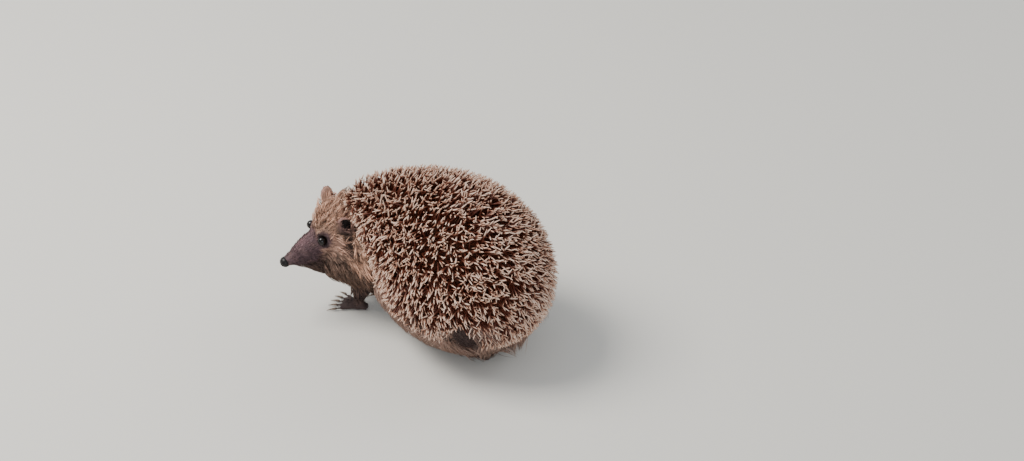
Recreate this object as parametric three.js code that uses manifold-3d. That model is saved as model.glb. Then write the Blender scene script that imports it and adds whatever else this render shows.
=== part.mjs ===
// An adult European hedgehog standing on all four feet, its back arched and its head turned to its left.
// The solids reach out to the tips of the spines and hair. Millimetres, +Z up, the head towards -X and the
// animal's left towards -Y. The origin is at the middle of the whole animal's box, on the floor.
import * as THREE from "three";
import { mergeVertices } from "three/addons/utils/BufferGeometryUtils.js";
import Module from "manifold-3d";

const wasm = await Module();
wasm.setup();

// ---- Driving sizes ----
// A path's points, and three numbers in a row, are the values at the front, the middle and the rear.

const GAP = 0.3; // clearance between neighbouring pieces
const LEFT = -1; // the side of Y that a piece of a pair is on
const RIGHT = 1;

const back = {
  path: [[-89, -9, 95], [5, 8, 68.5], [94, 3, 60]],
  halfWidth: [38, 65.5, 70],
  rise: [46, 70.5, 63], // from the widest level up to the spine tips on top
  drop: [6, 58, 63],
  bluntness: 0.9, // under 1, the two ends are fuller than an ellipse's
  fullnessBelow: 0.9, // under 1, the flanks hang fuller than an ellipse
};
const spineEdge = { frontHeight: 62, rearHeight: 31 }; // the lowest spine tips above the floor
// The spines begin at a plane across the head, this far behind its centre and turned back towards the shoulder.
const hairline = { behind: 11, turnBack: 8.5 };

const belly = {
  path: [[-74, -14, 54], [0, 3, 54], [84, 2, 52]],
  halfWidth: [26, 55, 58],
  rise: [20, 30, 30],
  drop: [32, 47, 44],
  bluntness: 0.85,
  insideSpines: 4,
  floorGap: 7,
};
const neck = {
  path: [[-91, -37, 47], [-62, -15, 57], [-32, 2, 64]],
  halfWidth: [22, 30, 31],
  rise: [20, 30, 31],
  drop: [29, 32, 31],
  bluntness: 0.85,
};

// The head and all on it are laid out in the head's own frame: its centre at the origin, its nose towards -X.
const headPose = { centre: [-84, -20, 70], turn: 65, dip: 17 }; // degrees to its left, and nose down
const skull = {
  path: [[-29, 0, -3], [-2, 0, 0], [24, 0, 2]],
  halfWidth: [18, 25, 26],
  rise: [17, 23, 25],
  drop: [20, 31, 29],
};
const muzzle = {
  path: [[-51, 0, -4.2], [-30, 0, -4.2], [-4, 0, -1]],
  halfWidth: [7, 13, 20],
  rise: [7.5, 12.5, 18],
  drop: [5.5, 9.5, 14],
  bluntness: 0.9,
};
const jaw = {
  path: [[-42, 0, -10], [-21, 0, -17], [4, 0, -23]],
  halfWidth: [4, 13, 21],
  rise: [2.6, 6, 9],
  drop: [2.6, 15.5, 23],
};
const nose = { centre: [-50.5, 0, -3.2], length: 8, width: 9.6, height: 8.2 };
const eye = { radius: 3.5, ahead: 18.6, aside: 12.1, above: 7.6 };
const ear = {
  height: 17.5, width: 15, thickness: 5,
  hollow: { height: 12, width: 10.5, depth: 5, outward: 2.4 },
  behind: 3, aside: 21, above: 18.5, // its centre on the head
  splay: 6, swing: 32, lean: 20, // degrees outwards, forwards and back
};
const tail = { path: [[58, 3, 37], [69, 3, 28], [74, 3, 18]], radius: [5, 4, 2.4] };

const frontFoot = { length: 20, width: 15, height: 8, toeRadius: 2.1, toeReach: 7, claw: 5, clawRadius: 1.1 };
const hindFoot = { length: 33, width: 14, height: 9, toeRadius: 2.1, toeReach: 8, claw: 6, clawRadius: 1.2 };
const toes = { count: 5, bow: 1.1, rootSpread: 0.75, tipSpread: 1.45, rootBehind: 0.5 }; // shares of the foot's width
const heelShare = 0.4; // how much of a foot is behind its ankle

const limbs = [
  { name: "front_left", ankle: [-68, -21, 5], hip: [-60, -18, 40], radius: [12, 9.5, 6.5], foot: frontFoot, heading: 20 },
  { name: "front_right", ankle: [-56, 13, 5], hip: [-50, 12, 40], radius: [12, 9.5, 6.5], foot: frontFoot, heading: 20 },
  { name: "hind_left", ankle: [42, -6, 6], hip: [46, -13, 36], radius: [18, 15, 9], foot: hindFoot, heading: 6 },
  { name: "hind_right", ankle: [46, 26, 6], hip: [46, 28, 36], radius: [18, 15, 9], foot: hindFoot, heading: -8 },
];

// ---- Materials ----

function finish(color, roughness) {
  return new THREE.MeshStandardMaterial({ color, roughness, metalness: 0 });
}

const spineCoat = finish(0x8d7260, 0.7);
const hair = finish(0x86695a, 0.9);
const darkHair = finish(0x4f3f3c, 0.9);
const bareSkin = finish(0x4a3a38, 0.75);
const wetBlack = finish(0x15110f, 0.2);

// ---- Shape tools ----

// A closed mesh as a solid, its surface moved outwards by `grow`.
function solidOf(geometry, grow = 0) {
  geometry.deleteAttribute("normal");
  geometry.deleteAttribute("uv");
  const merged = mergeVertices(geometry, 1e-4);
  if (grow) {
    merged.computeVertexNormals();
    const place = merged.getAttribute("position");
    const normal = merged.getAttribute("normal");
    place.array.forEach((value, i) => (place.array[i] = value + grow * normal.array[i]));
  }
  return new wasm.Manifold(
    new wasm.Mesh({
      numProp: 3,
      vertProperties: merged.getAttribute("position").array,
      triVerts: new Uint32Array(merged.index.array),
    }),
  );
}

// A curve through three sizes, as a function of the share of the way along. A plain number is the same all along.
function along(sizes, less = 0) {
  const [front, middle, rear] = Array.isArray(sizes) ? sizes : [sizes, sizes, sizes];
  return (share) =>
    front * (1 - share) * (1 - 2 * share) + middle * 4 * share * (1 - share) + rear * share * (2 * share - 1) - less;
}

// A rounded body swept along a path. A unit sphere's poles become its two ends and each of its rings one section:
// `halfWidth` to each side of the path, `rise` above it and `drop` below. `less` makes all of them smaller.
function sweep(shape, { sides, rings, grow = 0, less = 0 }) {
  const path = new THREE.CatmullRomCurve3(shape.path.map((point) => new THREE.Vector3(...point)));
  const halfWidth = along(shape.halfWidth, less);
  const rise = along(shape.rise, less);
  const drop = along(shape.drop ?? shape.rise, less);
  const { bluntness = 1, fullnessBelow = 1 } = shape;
  const geometry = new THREE.SphereGeometry(1, sides, rings);
  const place = geometry.getAttribute("position");
  const upright = new THREE.Vector3(0, 0, 1);
  for (let i = 0; i < place.count; i++) {
    const share = THREE.MathUtils.clamp((1 - place.getY(i)) / 2, 0, 1);
    const forward = path.getTangentAt(share).negate();
    const aside = new THREE.Vector3().crossVectors(forward, upright).normalize();
    const up = new THREE.Vector3().crossVectors(aside, forward);
    const ring = Math.max(Math.hypot(place.getX(i), place.getZ(i)), 1e-6);
    let across = place.getX(i) / ring;
    let high = place.getZ(i) / ring;
    if (high < 0) {
      across = Math.sign(across) * Math.abs(across) ** fullnessBelow;
      high = -(Math.abs(high) ** fullnessBelow);
    }
    const reach = ring ** bluntness;
    const point = path
      .getPointAt(share)
      .addScaledVector(aside, across * reach * halfWidth(share))
      .addScaledVector(up, high * reach * (high > 0 ? rise : drop)(share));
    place.setXYZ(i, point.x, point.y, point.z);
  }
  return solidOf(geometry, grow);
}

// A tube that narrows from one point to another, with rounded ends.
function digit(path, radius, { sides, rings, grow }) {
  return sweep({ path, halfWidth: radius, rise: radius }, { sides, rings, grow });
}

function ellipsoid([x, y, z], [length, width, height], { sides, rings, grow = 0 }) {
  const geometry = new THREE.SphereGeometry(1, sides, rings);
  geometry.scale(length / 2 + grow, width / 2 + grow, height / 2 + grow).translate(x, y, z);
  return solidOf(geometry);
}

// A block big enough to trim any piece, whose face towards +X is at `reach`, or towards +Z at `top`.
function trimBlock({ reach, top }) {
  const size = 400;
  const x = reach === undefined ? 0 : reach - size / 2;
  const z = top === undefined ? 0 : top - size / 2;
  return solidOf(new THREE.BoxGeometry(size, size, size).translate(x, 0, z));
}

function turned(axis, degrees) {
  return new THREE.Matrix4().makeRotationAxis(axis, THREE.MathUtils.degToRad(degrees));
}

const axisX = new THREE.Vector3(1, 0, 0);
const axisY = new THREE.Vector3(0, 1, 0);
const axisZ = new THREE.Vector3(0, 0, 1);

const headFrame = new THREE.Matrix4()
  .makeTranslation(...headPose.centre)
  .multiply(turned(axisZ, headPose.turn))
  .multiply(turned(axisY, -headPose.dip));

function onHead(solid) {
  return solid.transform(headFrame.elements);
}

// ---- Trunk ----

function trunk(less, grow) {
  return sweep(back, { sides: 34, rings: 16, less, grow });
}

// Everything under the sloping line where the spines end.
function underSpines(grow) {
  const [front, , rear] = back.path;
  const slope = Math.atan2(spineEdge.frontHeight - spineEdge.rearHeight, rear[0] - front[0]);
  const place = new THREE.Matrix4()
    .makeTranslation(rear[0], 0, spineEdge.rearHeight - grow)
    .multiply(new THREE.Matrix4().makeRotationY(slope));
  return trimBlock({ top: 0 }).transform(place.elements);
}

// Everything ahead of the plane where the spines begin.
function aheadOfHairline(grow) {
  return onHead(trimBlock({ reach: hairline.behind - grow }).transform(turned(axisZ, -hairline.turnBack).elements));
}

function spinyBack(grow = 0) {
  return trunk(0, grow).subtract(underSpines(grow)).subtract(aheadOfHairline(grow)).subtract(skullSolid(GAP - grow));
}

// The flanks just inside the spine tips, joined to the round underside and chest.
function bellySolid(grow = 0) {
  return trunk(belly.insideSpines, grow)
    .subtract(aheadOfHairline(grow))
    .add(sweep(belly, { sides: 20, rings: 10, grow }))
    .subtract(trimBlock({ top: belly.floorGap - grow }));
}

function neckSolid() {
  return sweep(neck, { sides: 14, rings: 8 });
}

function tailSolid(grow = 0) {
  return digit(tail.path, tail.radius, { sides: 9, rings: 6, grow });
}

// ---- Head ----

function skullSolid(grow = 0) {
  return onHead(sweep(skull, { sides: 20, rings: 10, grow }));
}

function muzzleSolid(grow = 0) {
  return onHead(sweep(muzzle, { sides: 16, rings: 8, grow }));
}

function jawSolid(grow = 0) {
  return onHead(sweep(jaw, { sides: 12, rings: 8, grow }));
}

function nosePad(grow = 0) {
  return onHead(ellipsoid(nose.centre, [nose.length, nose.width, nose.height], { sides: 12, rings: 8, grow }));
}

function eyeball(side, grow = 0) {
  const size = 2 * eye.radius;
  return onHead(ellipsoid([-eye.ahead, side * eye.aside, eye.above], [size, size, size], { sides: 12, rings: 8, grow }));
}

// A rounded leaf, hollowed on its outer face.
function earSolid(side, grow = 0) {
  const { height, width, depth, outward } = ear.hollow;
  const leaf = ellipsoid([0, 0, 0], [ear.width, ear.thickness, ear.height], { sides: 12, rings: 8, grow });
  const hollow = ellipsoid([0, side * outward, 0], [width, depth, height], { sides: 10, rings: 6, grow: -grow });
  const place = new THREE.Matrix4()
    .makeTranslation(ear.behind, side * ear.aside, ear.above)
    .multiply(turned(axisZ, side * ear.swing))
    .multiply(turned(axisX, -side * ear.splay))
    .multiply(turned(axisY, ear.lean));
  return onHead(leaf.subtract(hollow).transform(place.elements));
}

// ---- Limbs ----

// A flat-soled foot with its toes fanned ahead of it and a claw on each toe, all resting on the floor.
function footSolid({ ankle, foot, heading }, grow = 0) {
  const heel = foot.length * heelShare;
  const ball = heel - foot.length;
  const sole = {
    path: [[ball, 0, foot.height * 0.3], [(ball + heel) / 2, 0, foot.height * 0.36], [heel, 0, foot.height * 0.42]],
    halfWidth: [foot.width * 0.56, foot.width * 0.48, foot.width * 0.4],
    rise: foot.height * 0.62,
    drop: foot.height * 0.5,
  };
  let solid = sweep(sole, { sides: 10, rings: 6, grow });
  for (let toe = 0; toe < toes.count; toe++) {
    const spread = toe / (toes.count - 1) - 0.5; // from one side of the foot to the other
    const reach = foot.toeReach * (1 - toes.bow * spread ** 2);
    const root = [ball + foot.width * toes.rootBehind, spread * foot.width * toes.rootSpread, foot.toeRadius * 0.9];
    const tip = [ball - reach, spread * foot.width * toes.tipSpread, foot.toeRadius * 0.8];
    solid = solid
      .add(digit([tip, root], foot.toeRadius, { sides: 6, rings: 3, grow }))
      .add(clawSolid(foot, tip, spread, grow));
  }
  const place = new THREE.Matrix4().makeTranslation(ankle[0], ankle[1], 0).multiply(turned(axisZ, heading));
  return solid.transform(place.elements).subtract(trimBlock({ top: 0 }));
}

// A claw runs forward from inside its toe's tip and curves down to the floor.
function clawSolid({ claw, clawRadius }, [x, y, z], spread, grow) {
  const tip = [x - claw, y + 3 * spread, 0.6 * clawRadius];
  const bend = [x - claw / 2, y + 1.5 * spread, z + 0.4 * clawRadius];
  const root = [x + clawRadius, y, z + 0.3 * clawRadius];
  return digit([tip, bend, root], clawRadius, { sides: 4, rings: 3, grow });
}

function legSolid({ hip, ankle, radius }, grow = 0) {
  return digit([hip, ankle], radius, { sides: 12, rings: 8, grow });
}

// ---- Assembly ----

function cutBy(solid, ...cutters) {
  return cutters.flat().reduce((left, cutter) => left.subtract(cutter), solid);
}

function meshOf(name, solid, material) {
  const { vertProperties, triVerts, numProp } = solid.getMesh();
  const geometry = new THREE.BufferGeometry()
    .setAttribute("position", new THREE.BufferAttribute(Float32Array.from(vertProperties), numProp))
    .setIndex(new THREE.BufferAttribute(Uint32Array.from(triVerts), 1));
  geometry.computeVertexNormals();
  const mesh = new THREE.Mesh(geometry, material);
  mesh.name = name;
  return mesh;
}

const pair = [
  { name: "left", side: LEFT },
  { name: "right", side: RIGHT },
];

// Each piece is cut by its neighbours' shapes grown by GAP.
const backCut = spinyBack(GAP);
const bellyCut = bellySolid(GAP);
const skullCut = skullSolid(GAP);
const jawCut = jawSolid(GAP);
const eyeCuts = pair.map(({ side }) => eyeball(side, GAP));
const earCuts = pair.map(({ side }) => earSolid(side, GAP));
const legCuts = limbs.map((limb) => legSolid(limb, GAP));
const footCuts = limbs.map((limb) => footSolid(limb, GAP));

const trunkGroup = new THREE.Group().add(
  meshOf("spiny_back", spinyBack(), spineCoat),
  meshOf("belly", cutBy(bellySolid(), backCut, tailSolid(GAP), legCuts, footCuts, skullCut, jawCut, earCuts), hair),
  meshOf("neck", cutBy(neckSolid(), backCut, bellyCut, skullCut, muzzleSolid(GAP), jawCut, earCuts, legCuts), hair),
  meshOf("tail", cutBy(tailSolid(), backCut), hair),
);

const headGroup = new THREE.Group().add(
  meshOf("head", cutBy(skullSolid(), backCut, eyeCuts, earCuts), hair),
  meshOf("muzzle", cutBy(muzzleSolid(), nosePad(GAP), skullCut, jawCut, eyeCuts), darkHair),
  meshOf("lower_jaw", cutBy(jawSolid(), skullCut), darkHair),
  meshOf("nose", nosePad(), wetBlack),
  ...pair.map(({ name, side }) => meshOf("eye_" + name, eyeball(side), wetBlack)),
  ...pair.map(({ name, side }) => meshOf("ear_" + name, cutBy(earSolid(side), backCut), darkHair)),
);

const limbGroups = limbs.map((limb, i) =>
  new THREE.Group().add(
    meshOf("leg_" + limb.name, cutBy(legSolid(limb), backCut, footCuts[i]), darkHair),
    meshOf("foot_" + limb.name, footSolid(limb), bareSkin),
  ),
);

// The whole animal is set with its box's middle over the origin and its soles on the floor.
const animal = new THREE.Group().add(trunkGroup, headGroup, ...limbGroups);
const box = new THREE.Box3().setFromObject(animal);
const middle = box.getCenter(new THREE.Vector3());
animal.position.set(-middle.x, -middle.y, -box.min.z);

const hedgehog = new THREE.Group().add(animal);
hedgehog.name = "hedgehog";

export default hedgehog;
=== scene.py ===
import itertools
import math

import bpy
import bmesh
import numpy as np
from mathutils import Matrix, Vector
from mathutils.bvhtree import BVHTree
from mathutils.geometry import barycentric_transform


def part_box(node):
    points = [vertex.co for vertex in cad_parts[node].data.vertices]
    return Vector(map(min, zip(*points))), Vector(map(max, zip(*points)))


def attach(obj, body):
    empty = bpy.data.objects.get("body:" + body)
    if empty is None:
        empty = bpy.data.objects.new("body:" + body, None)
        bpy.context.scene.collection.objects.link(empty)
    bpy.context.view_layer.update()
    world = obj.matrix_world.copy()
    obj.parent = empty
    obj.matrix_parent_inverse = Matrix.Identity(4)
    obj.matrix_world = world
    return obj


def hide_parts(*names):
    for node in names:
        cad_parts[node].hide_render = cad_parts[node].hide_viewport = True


# An adult European hedgehog on all fours, its head turned to its left.
# Metres, the head towards -X, the animal's left towards -Y, the floor at Z = 0.

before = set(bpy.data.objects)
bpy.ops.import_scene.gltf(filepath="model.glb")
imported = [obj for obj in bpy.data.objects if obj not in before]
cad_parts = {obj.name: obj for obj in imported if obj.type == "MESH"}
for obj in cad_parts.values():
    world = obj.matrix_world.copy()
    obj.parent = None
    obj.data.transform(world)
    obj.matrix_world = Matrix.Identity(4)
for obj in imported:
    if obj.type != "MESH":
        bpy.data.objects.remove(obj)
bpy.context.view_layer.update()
dice = np.random.default_rng(7)

# camera

cameraLook = {
    "azimuth": 40,
    "elevation": 36,
    "distance": 1.6,
    "lens": 73,
    "sensor": 36,
    "aim": (0.0415, 0.0439, 0.0851),
}


def placeCamera(look):
    turn, lift = math.radians(look["azimuth"]), math.radians(look["elevation"])
    back = Vector((math.sin(turn) * math.cos(lift), -math.cos(turn) * math.cos(lift), math.sin(lift)))
    right = Vector((math.cos(turn), math.sin(turn), 0))
    above = back.cross(right)
    place = Matrix((right, above, back)).transposed().to_4x4()
    place.translation = Vector(look["aim"]) + back * look["distance"]
    bpy.ops.object.camera_add()
    camera = bpy.context.object
    camera.name = "camera"
    camera.matrix_world = place
    camera.data.lens = look["lens"]
    camera.data.sensor_width = look["sensor"]
    camera.data.clip_start = 0.01
    bpy.context.scene.camera = camera


placeCamera(cameraLook)
print("camera placed")

# tones, as a paint chart would name them


def tone(code):
    parts = [int(code[i : i + 2], 16) / 255 for i in (0, 2, 4)]
    return tuple(p / 12.92 if p <= 0.04045 else ((p + 0.055) / 1.055) ** 2.4 for p in parts)


tones = {
    "forehead": tone("ac8975"),
    "cheek": tone("b48e7c"),
    "ruff": tone("b08a74"),
    "muzzle": tone("554144"),
    # painted highlight on the top of the muzzle's bridge
    "bridge": tone("86696c"),
    # painted shade under the head and in the fold of the neck
    "shadedThroat": tone("514037"),
    "earRim": tone("a07c74"),
    # painted shade in the hollows of the ears
    "earHollowShade": tone("170e0d"),
    # painted shade in the fold below the left ear and behind each ear
    "earFoldShade": tone("251a16"),
    "flank": tone("7d6256"),
    "skirt": tone("a0877b"),
    "belly": tone("6c5245"),
    "legs": tone("3d2e2b"),
    "soles": tone("463634"),
    # painted shade on the skin under the spines
    "shadeUnderSpines": tone("5e3020"),
}

# small tools


def deselectAll():
    if bpy.context.object and bpy.context.object.mode != "OBJECT":
        bpy.ops.object.mode_set(mode="OBJECT")
    bpy.ops.object.select_all(action="DESELECT")


def pick(obj):
    deselectAll()
    obj.select_set(True)
    bpy.context.view_layer.objects.active = obj


def smooth(obj):
    pick(obj)
    bpy.ops.object.shade_smooth()


def addObject(name, mesh):
    obj = bpy.data.objects.new(name, mesh)
    bpy.context.scene.collection.objects.link(obj)
    return obj


def applyModifier(obj, kind, **values):
    pick(obj)
    modifier = obj.modifiers.new(kind.lower(), kind)
    for key, value in values.items():
        setattr(modifier, key, value)
    bpy.ops.object.modifier_apply(modifier=modifier.name)


def joinAll(parts, name):
    deselectAll()
    for part in parts:
        part.select_set(True)
    bpy.context.view_layer.objects.active = parts[0]
    bpy.ops.object.join()
    joined = bpy.context.object
    joined.name = name
    joined.data.name = name
    return joined


def bake(obj):
    # puts the object's place into its mesh, so that its origin is the world's
    obj.data.transform(obj.matrix_world)
    obj.matrix_world = Matrix.Identity(4)
    return obj


def ball(place, size, segments=24, rings=12):
    # a round form of half sizes `size`, set at the matrix `place`
    deselectAll()
    bpy.ops.mesh.primitive_uv_sphere_add(segments=segments, ring_count=rings, radius=1)
    obj = bpy.context.object
    obj.matrix_world = place @ Matrix.Diagonal((*size, 1))
    return bake(obj)


def readRows(items, field, width=3, kind=float):
    out = np.empty(len(items) * width, kind)
    items.foreach_get(field, out)
    return out.reshape(-1, width)


def pointsOf(obj):
    return readRows(obj.data.vertices, "co")


def setPoints(obj, co):
    obj.data.vertices.foreach_set("co", co.ravel())
    obj.data.update()


def normalsOf(obj):
    return readRows(obj.data.vertex_normals, "vector")


def addAttribute(obj, name, values, kind="FLOAT"):
    layer = obj.data.attributes.new(name, kind, "POINT")
    if kind == "FLOAT":
        layer.data.foreach_set("value", np.asarray(values, np.float32).ravel())
    else:
        full = np.ones((len(values), 4), np.float32)
        full[:, :3] = values
        layer.data.foreach_set("color", full.ravel())


def smoothStep(low, high, values):
    t = np.clip((values - low) / (high - low), 0, 1)
    return t * t * (3 - 2 * t)


def carry(points, matrix):
    m = np.array(matrix)
    return points @ m[:3, :3].T + m[:3, 3]


def unit(vectors):
    return vectors / np.maximum(np.linalg.norm(vectors, axis=-1, keepdims=True), 1e-12)


def ripple(points, size, seed, waves=6):
    # a soft, cheap noise from a few turned waves
    rng = np.random.default_rng(seed)
    total = np.zeros(len(points))
    for _ in range(waves):
        way = unit(rng.normal(size=3)) / size
        total += np.sin(points @ way * 2 * math.pi + rng.uniform(0, 6.28))
    return total / waves


def middleOf(node):
    low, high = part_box(node)
    return (low + high) / 2


# the head's own frame: nose towards -X, its right towards +Y

headLook = {"turn": 65, "dip": 17, "eyeAhead": 0.0186, "eyeAbove": 0.0076}

headTurn = Matrix.Rotation(math.radians(headLook["turn"]), 4, "Z")
headTurn = headTurn @ Matrix.Rotation(math.radians(-headLook["dip"]), 4, "Y")
eyeMiddles = [middleOf("eye_left"), middleOf("eye_right")]
betweenEyes = Vector((-headLook["eyeAhead"], 0, headLook["eyeAbove"]))
headPlace = headTurn.copy()
headPlace.translation = (eyeMiddles[0] + eyeMiddles[1]) / 2 - headTurn @ betweenEyes
headBack = headPlace.inverted()


def toHead(points):
    return carry(points, headBack)


def fromHead(points):
    return carry(points, headPlace)


def headWay(direction):
    return np.array(headTurn.to_3x3() @ Vector(direction))


# feet, each with its own frame: toes towards -X, the floor at Z = 0

frontFoot = {"length": 0.020, "width": 0.015, "height": 0.008, "toe": 0.0020, "reach": 0.007, "claw": 0.0062}
hindFoot = {"length": 0.033, "width": 0.014, "height": 0.009, "toe": 0.0020, "reach": 0.008, "claw": 0.0072}
feet = {
    "front_left": {"shape": frontFoot, "heading": 20},
    "front_right": {"shape": frontFoot, "heading": 20},
    "hind_left": {"shape": hindFoot, "heading": 6},
    "hind_right": {"shape": hindFoot, "heading": -8},
}
heelShare = 0.4
toeCount = 5
toeSpread = {"bow": 1.1, "root": 0.75, "tip": 1.45, "behind": 0.5}  # shares of the foot's width
# bone, knuckle and pad of a toe: place along it, half length, and width and lift by its thickness
toeForms = ((0.45, 0.55, 0.80, 0.0), (0.55, 0.20, 0.95, 0.5), (0.88, 0.15, 1.0, 0.0))


def footPlace(name):
    # the CAD foot's middle is the middle of its toes and heel, so the ankle is found from it
    look = feet[name]
    shape = look["shape"]
    turn = Matrix.Rotation(math.radians(look["heading"]), 4, "Z")
    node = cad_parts["foot_" + name]
    local = np.array([turn.inverted() @ v.co for v in node.data.vertices])
    heel = local[:, 0].max() - shape["length"] * heelShare
    side = (local[:, 1].max() + local[:, 1].min()) / 2
    turn.translation = turn.to_3x3() @ Vector((heel, side, 0))
    return turn


def toeEnds(shape, toe):
    spread = toe / (toeCount - 1) - 0.5
    front = shape["length"] * (heelShare - 1)
    reach = shape["reach"] * (1 - toeSpread["bow"] * spread**2)
    aside = spread * shape["width"]
    root = Vector((front + shape["width"] * toeSpread["behind"], aside * toeSpread["root"], shape["toe"]))
    tip = Vector((front - reach, aside * toeSpread["tip"], shape["toe"] * 0.85))
    return root, tip


def makePaw(name):
    shape = feet[name]["shape"]
    place = footPlace(name)
    heel = shape["length"] * heelShare
    front = heel - shape["length"]
    width, height, toe = shape["width"], shape["height"], shape["toe"]
    at = lambda x, y, z: place @ Matrix.Translation((x, y, z))
    # the sole from end to end, the ball of the toes and the heel
    parts = [
        ball(at((front + heel) / 2, 0, height * 0.36), (shape["length"] * 0.48, width * 0.40, height * 0.52)),
        ball(at(front + width * 0.42, 0, height * 0.34), (width * 0.42, width * 0.50, height * 0.46)),
        ball(at(heel * 0.72, 0, height * 0.32), (heel * 0.42, width * 0.3, height * 0.42)),
    ]
    for i in range(toeCount):
        root, tip = toeEnds(shape, i)
        way = tip - root
        turn = way.to_track_quat("X", "Z").to_matrix().to_4x4()
        for share, half, wide, lift in toeForms:
            middle = root + way * share + Vector((0, 0, toe * lift * 0.4))
            size = (way.length * half, toe * wide, toe * 0.9)
            parts.append(ball(place @ Matrix.Translation(middle) @ turn, size, 16, 10))
    return joinAll(parts, "paw_" + name)


# skin: the flesh nodes made one, taken in by the depth of the coat

skinLook = {
    "voxel": 0.00119,
    "outerVoxel": 0.0014,
    "trunkVoxel": 0.0018,
    "swell": 0.0005,
    "spineDepth": 0.0150,
    "hairDepth": 0.0035,
    "faceDepth": 0.0012,
    "crownDepth": 0.0015,
    "limbDepth": 0.0015,
    "underDepth": 0.0060,
    "steps": 8,
    "soleLevel": 0.0003,
    "gloss": (0.72, 0.3),
}
headNodes = ["head", "muzzle", "lower_jaw", "ear_left", "ear_right"]
limbNodes = ["leg_" + name for name in feet]
footNodes = ["foot_" + name for name in feet]
fleshNodes = ["spiny_back", "belly", "neck", "tail"] + headNodes + limbNodes


def copyNode(name):
    obj = addObject("copy_" + name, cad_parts[name].data.copy())
    obj.data.materials.clear()
    shell = bmesh.new()
    shell.from_mesh(obj.data)
    bmesh.ops.remove_doubles(shell, verts=shell.verts, dist=1e-6)
    shell.to_mesh(obj.data)
    shell.free()
    applyModifier(obj, "DISPLACE", strength=skinLook["swell"], mid_level=0)
    return obj


def unite(parts, name, voxel):
    body = joinAll(parts, name)
    applyModifier(body, "REMESH", mode="VOXEL", voxel_size=voxel)
    return body


def treeOf(mesh, own=None):
    # a tree of the mesh's faces, or of those whose points are its own
    mesh.calc_loop_triangles()
    faces = [tuple(t.vertices) for t in mesh.loop_triangles]
    if own is not None:
        faces = [f for f in faces if own[list(f)].all()]
    return BVHTree.FromPolygons([v.co for v in mesh.vertices], faces)


def nearest(tree, points):
    found = [tree.find_nearest(Vector(p))[:2] for p in points]
    return np.array([f[0] for f in found]), np.array([f[1] for f in found])


def distanceTo(names, points):
    trees = [treeOf(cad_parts[name].data) for name in names]
    return np.min([np.linalg.norm(nearest(tree, points)[0] - points, axis=1) for tree in trees], axis=0)


def neighbourMean(edges, values):
    total = np.zeros_like(values)
    count = np.zeros(len(values))
    for a, b in ((0, 1), (1, 0)):
        np.add.at(total, edges[:, a], values[edges[:, b]])
        np.add.at(count, edges[:, a], 1)
    return total / np.maximum(count, 1).reshape((-1,) + (1,) * (values.ndim - 1))


def edgesOf(obj):
    return readRows(obj.data.edges, "vertices", 2, np.int64)


def relax(obj, strength, repeats):
    edges, co = edgesOf(obj), pointsOf(obj)
    strength = np.broadcast_to(np.asarray(strength, float), (len(co),))[:, None]
    for _ in range(repeats):
        co = co + (neighbourMean(edges, co) - co) * strength
    setPoints(obj, co)


def drawIn(obj, depth):
    # the form drawn in by the coat's depth, a little at a time so that nothing folds
    edges = edgesOf(obj)
    for _ in range(12):
        depth = depth + (neighbourMean(edges, depth) - depth) * 0.5
    for _ in range(skinLook["steps"]):
        setPoints(obj, pointsOf(obj) - normalsOf(obj) * (depth / skinLook["steps"])[:, None])
        relax(obj, 0.35 * smoothStep(0.002, 0.008, depth), 2)


# the outer form, which the tips of the coat keep to
outerNodes = fleshNodes + footNodes + ["nose"]
outer = unite([copyNode(name) for name in outerNodes], "outer", skinLook["outerVoxel"])
outerTree = treeOf(outer.data)
bpy.data.objects.remove(outer)


def outside(points):
    # how far each point is outside the outer form, less than nothing inside it, and the way out
    place, way = nearest(outerTree, points)
    return ((points - place) * way).sum(axis=1), way


# where each hind leg lifts the skirt of spines, and short dark fur shows
haunchLook = {
    "place": (0.0665, -0.0455, 0.0365),
    "middle": -0.0012,
    "size": (0.0095, 0.0140, 0.0205),
    "parting": (0.0245, 0.0240, 0.0215),
}


def haunchMiddle(points):
    # the middle of the haunch on each point's own side
    x, y, z = haunchLook["place"]
    side = np.where(points[:, 1] < haunchLook["middle"], y, 2 * haunchLook["middle"] - y)
    return np.stack([np.full(len(points), x), side, np.full(len(points), z)], axis=1)


def haunchDistance(points, part="size"):
    # one on the edge of a haunch, or of the parting in the spines over it, less inside it
    return np.linalg.norm((points - haunchMiddle(points)) / haunchLook[part], axis=1)


def roomOver(points, ways):
    # how far the outer form is from each root, along its normal
    out = np.empty(len(points))
    for i, (point, way) in enumerate(zip(points, ways)):
        distance = outerTree.ray_cast(Vector(point), Vector(way))[3]
        out[i] = distance if distance is not None else 0.0
    return out


# where the spines grow: above an edge that slopes down to the rear, and behind a hairline across the head

spineArea = {
    "front": (-0.0817, 0.062),
    "rear": (0.1013, 0.031),
    "aboveEdge": 0.002,
    "hairline": 0.0100,
    "turnBack": 3,
    "wobble": 0.0015,
}


def behindHairline(points):
    local, turn = toHead(points), math.radians(spineArea["turnBack"])
    return local[:, 0] * math.cos(turn) - local[:, 1] * math.sin(turn) - spineArea["hairline"]


def aboveEdge(points):
    (x0, z0), (x1, z1) = spineArea["front"], spineArea["rear"]
    return points[:, 2] - (z0 + (points[:, 0] - x0) * (z1 - z0) / (x1 - x0)) - spineArea["aboveEdge"]


def spineShare(points):
    wobble = spineArea["wobble"] * ripple(points, 0.010, 5)
    share = smoothStep(0, 0.003, behindHairline(points) + wobble)
    share = share * smoothStep(0, 0.006, aboveEdge(points) + wobble)
    return share * smoothStep(0.92, 1.08, haunchDistance(points, "parting") + 8 * wobble)


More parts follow.
